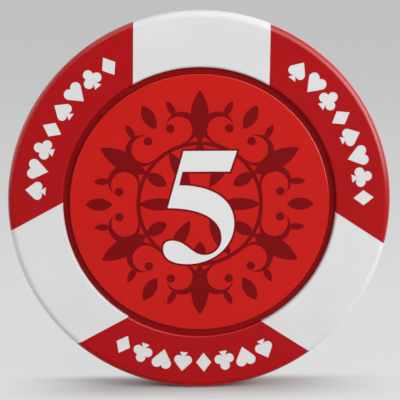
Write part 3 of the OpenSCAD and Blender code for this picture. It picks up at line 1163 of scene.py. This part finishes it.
def studio_floor(stage):
    """A pale floor that keeps shadows near the chip and turns into the backdrop's grey further out; its
    glow is lighter near the chip, a painted pool of light.
    """
    finish = Finish("studio_floor")
    away = finish.vectors("LENGTH", finish.place, output="Value")
    steps = away / stage.fade
    grey = [(value,) * 3 for value in (stage.far_grey, stage.near_grey)]
    # Painted pool of light: the glow is lighter near the chip and fades to the backdrop's grey
    tone = finish.blend(1 / (1 + steps * steps), *grey)
    lit = finish.node("ShaderNodeBsdfDiffuse", {}, {"Color": (*[stage.floor_white] * 3, 1)})
    glow = finish.node("ShaderNodeEmission", {}, {"Color": tone})
    across, back = (finish.part(finish.place, axis) for axis in "XY")
    beside = finish.rise(finish.maths("ABSOLUTE", across), 8 * MM, 24 * MM)
    before = finish.rise(0 - back, 0.8 * MM, 6.5 * MM)
    behind = finish.rise(back, 1.2 * MM, 3.5 * MM)
    clear = 1 - (1 - beside) * (1 - before) * (1 - behind)
    near_share = 0.78
    far_off = finish.rise(away, stage.fade / 2, 2 * stage.fade)
    bare = clear * near_share + far_off * (1 - near_share)
    mixed = finish.node("ShaderNodeMixShader", {}, {0: seen_directly(finish) * bare, 1: lit, 2: glow})
    finish.node("ShaderNodeOutputMaterial", {}, {"Surface": mixed})
    return finish.material


def seen_directly(graph):
    """1 for rays that show the backdrop: from the camera, in a reflection or through glass."""
    kinds = ("Is Camera Ray", "Is Glossy Ray", "Is Transmission Ray")
    camera, glossy, through = (graph.node("ShaderNodeLightPath", output=kind) for kind in kinds)
    return graph.maths("MAXIMUM", graph.maths("MAXIMUM", camera, glossy), through)


def studio_world(stage):
    """Even light from all round, with the backdrop's grey where it is seen."""
    world = bpy.data.worlds.new("studio")
    world.use_nodes = True
    graph = Graph(world.node_tree)
    graph.tree.nodes.clear()
    light = graph.node("ShaderNodeBackground", {}, {"Color": (1, 1, 1, 1), "Strength": stage.fill})
    grey = graph.node("ShaderNodeBackground", {}, {"Color": (1, 1, 1, 1), "Strength": stage.far_grey})
    mixed = graph.node("ShaderNodeMixShader", {}, {0: seen_directly(graph), 1: light, 2: grey})
    graph.node("ShaderNodeOutputWorld", {}, {"Surface": mixed})
    return world


def softbox(name, power):
    """One of the area lamps, which shine at the chip's middle."""
    towards, size, along = SOFTBOXES[name]
    lamp = bpy.data.lights.new(name, "AREA")
    lamp.shape = "RECTANGLE"
    lamp.size, lamp.size_y = size
    lamp.energy = power
    box = new_object(name, lamp)
    back = Vector(towards).normalized()
    across = (Vector(along) - back * back.dot(Vector(along))).normalized()
    turn = Matrix((across, back.cross(across), back)).transposed().to_4x4()
    place = Vector((0, 0, RIM_RADIUS)) + back * SOFTBOX_DISTANCE
    box.matrix_world = Matrix.Translation(place) @ turn
    box.visible_glossy = name not in WITHOUT_GLOSS


def dark_card():
    """A dark card before the chip, lying and then standing, that shows only in the chip's gloss and
    nowhere else: a painted dark reflection where the pale floor lies.
    """
    near, far, half, lift, high = -0.0015, -0.65, 0.8, 0.0003, 0.6
    section = [(near, lift), (far, lift), (far, high)]
    points = [(x, y, z) for y, z in section for x in (-half, half)]
    mesh = bpy.data.meshes.new("dark_card")
    mesh.from_pydata(points, [], [(0, 1, 3, 2), (2, 3, 5, 4)])
    card = Finish("dark_card")
    mesh.materials.append(card.surface({"Base Color": (0, 0, 0, 1), "Specular IOR Level": 0}))
    made = new_object("dark_card", mesh)
    made.visible_camera = made.visible_diffuse = made.visible_shadow = False
    return made


class CHIP_OT_stage(Operator):
    """Set up the floor, the lamps, the backdrop and the camera"""

    bl_idname = "chip.stage"
    bl_label = "Stage"

    def execute(self, context):
        scene = context.scene
        stage = scene.chip_stage
        bm = bmesh.new()
        bmesh.ops.create_circle(bm, cap_ends=True, radius=stage.floor_radius, segments=96)
        mesh = as_mesh(bm, "floor")
        mesh.materials.append(studio_floor(stage))
        new_object("floor", mesh)

        for name in SOFTBOXES:
            softbox(name, getattr(stage, name))
        dark_card()
        scene.world = studio_world(stage)

        camera = bpy.data.cameras.new("camera")
        camera.lens = stage.lens
        camera.clip_start, camera.clip_end = 0.01, 10
        eye = new_object("camera", camera)
        level = cos(stage.elevation)
        back = Vector((
            sin(stage.azimuth) * level, -cos(stage.azimuth) * level, sin(stage.elevation)
        ))
        eye.location = Vector((stage.aim_x, 0, stage.aim_z)) + back * stage.distance
        eye.rotation_euler = back.to_track_quat("Z", "Y").to_euler()
        scene.camera = eye
        scene.view_settings.view_transform = "Standard"
        return {"FINISHED"}


GROUPS = {
    "chip_body": ChipBody,
    "chip_marks": ChipMarks,
    "chip_print": ChipPrint,
    "chip_colours": ChipColours,
    "chip_stage": ChipStage,
}
OPERATORS = (
    CHIP_OT_halves,
    CHIP_OT_inserts,
    CHIP_OT_marks,
    CHIP_OT_core,
    CHIP_OT_inlays,
    CHIP_OT_prints,
    CHIP_OT_stage,
)


class CHIP_PT_builder(Panel):
    """Sizes, colours and building steps of the poker chip"""

    bl_idname = "CHIP_PT_builder"
    bl_label = "Poker Chip"
    bl_space_type = "VIEW_3D"
    bl_region_type = "UI"
    bl_category = "Poker Chip"

    def draw(self, context):
        for step in OPERATORS:
            self.layout.operator(step.bl_idname)
        for group, kind in GROUPS.items():
            box = self.layout.box()
            box.label(text=kind.__doc__)
            for name in kind.__annotations__:
                box.prop(getattr(context.scene, group), name)


CLASSES = (*GROUPS.values(), *OPERATORS, CHIP_PT_builder)


def register():
    for kind in CLASSES:
        bpy.utils.register_class(kind)
    for name, kind in GROUPS.items():
        setattr(bpy.types.Scene, name, PointerProperty(type=kind))


def unregister():
    for name in GROUPS:
        delattr(bpy.types.Scene, name)
    for kind in reversed(CLASSES):
        bpy.utils.unregister_class(kind)


def main():
    register()
    bpy.ops.chip.stage()
    bpy.ops.chip.halves()
    bpy.ops.chip.inserts()
    bpy.ops.chip.marks()
    bpy.ops.chip.core()
    bpy.ops.chip.inlays()
    bpy.ops.chip.prints()


if __name__ == "__main__":
    main()
